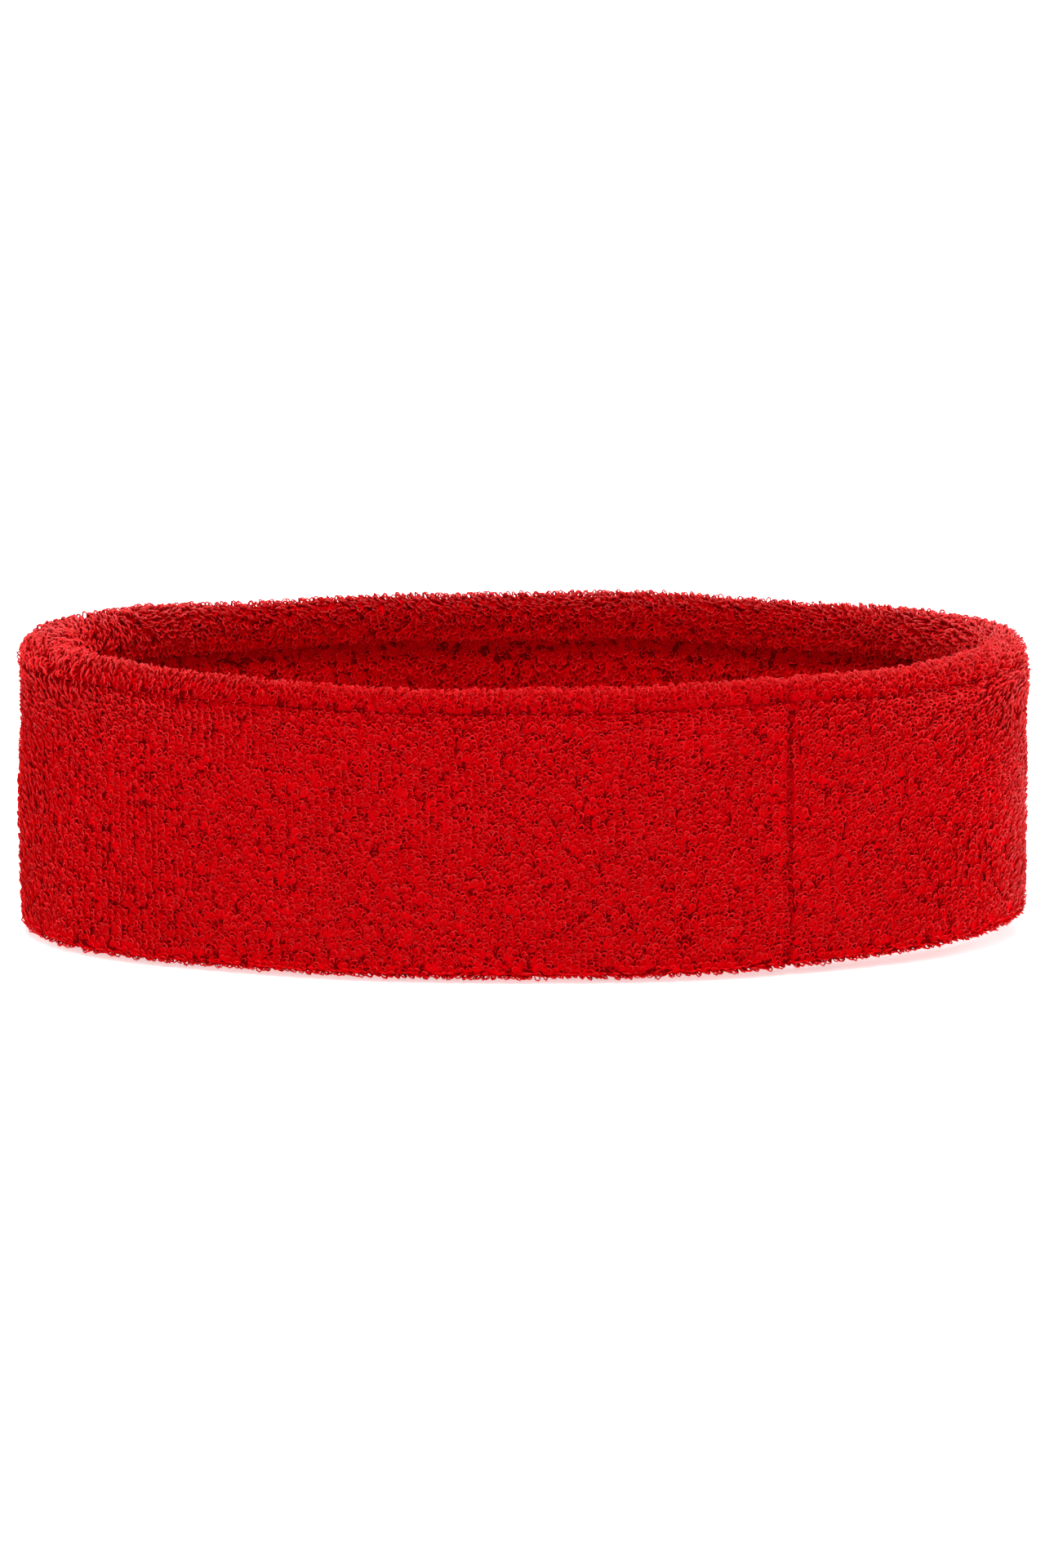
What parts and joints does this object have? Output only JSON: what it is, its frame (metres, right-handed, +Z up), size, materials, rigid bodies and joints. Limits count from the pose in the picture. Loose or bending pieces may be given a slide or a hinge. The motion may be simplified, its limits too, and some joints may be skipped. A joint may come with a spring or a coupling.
{
  "type": "sports headband",
  "caption": "Terry towelling sports headband: an elastic ring of doubled looped-pile knit, with a closing seam just below its top edge and a joining seam towards one end of its front.",
  "frame": {"origin": "centre of the ring, on the surface that its folded bottom edge stands on", "axes": "+X along the ring's longest width, +Z up the band's height, towards the edge that the closing seam runs below; the joining seam is on the -Y wall, at +X"},
  "size_m": [0.172, 0.078, 0.051],
  "materials": {
    "towelling": "looped cotton pile, matt",
    "sewing_thread": "twisted polyester thread",
    "elastic_yarn": "covered elastic yarn"
  },
  "bodies": {
    "root": {"outer_layer": "towelling", "inner_layer": "towelling", "closing_allowance_outer": "towelling", "closing_allowance_inner": "towelling", "closing_needle_thread": "sewing_thread", "closing_looper_thread": "sewing_thread", "joining_allowance_outer": "towelling", "joining_allowance_inner": "towelling", "joining_thread_outer": "sewing_thread", "joining_thread_inner": "sewing_thread", "elastic_yarn_01": "elastic_yarn", "elastic_yarn_02": "elastic_yarn", "elastic_yarn_03": "elastic_yarn", "elastic_yarn_04": "elastic_yarn", "elastic_yarn_05": "elastic_yarn", "elastic_yarn_06": "elastic_yarn", "elastic_yarn_07": "elastic_yarn", "elastic_yarn_08": "elastic_yarn", "elastic_yarn_09": "elastic_yarn", "elastic_yarn_10": "elastic_yarn"}
  },
  "joints": []
}
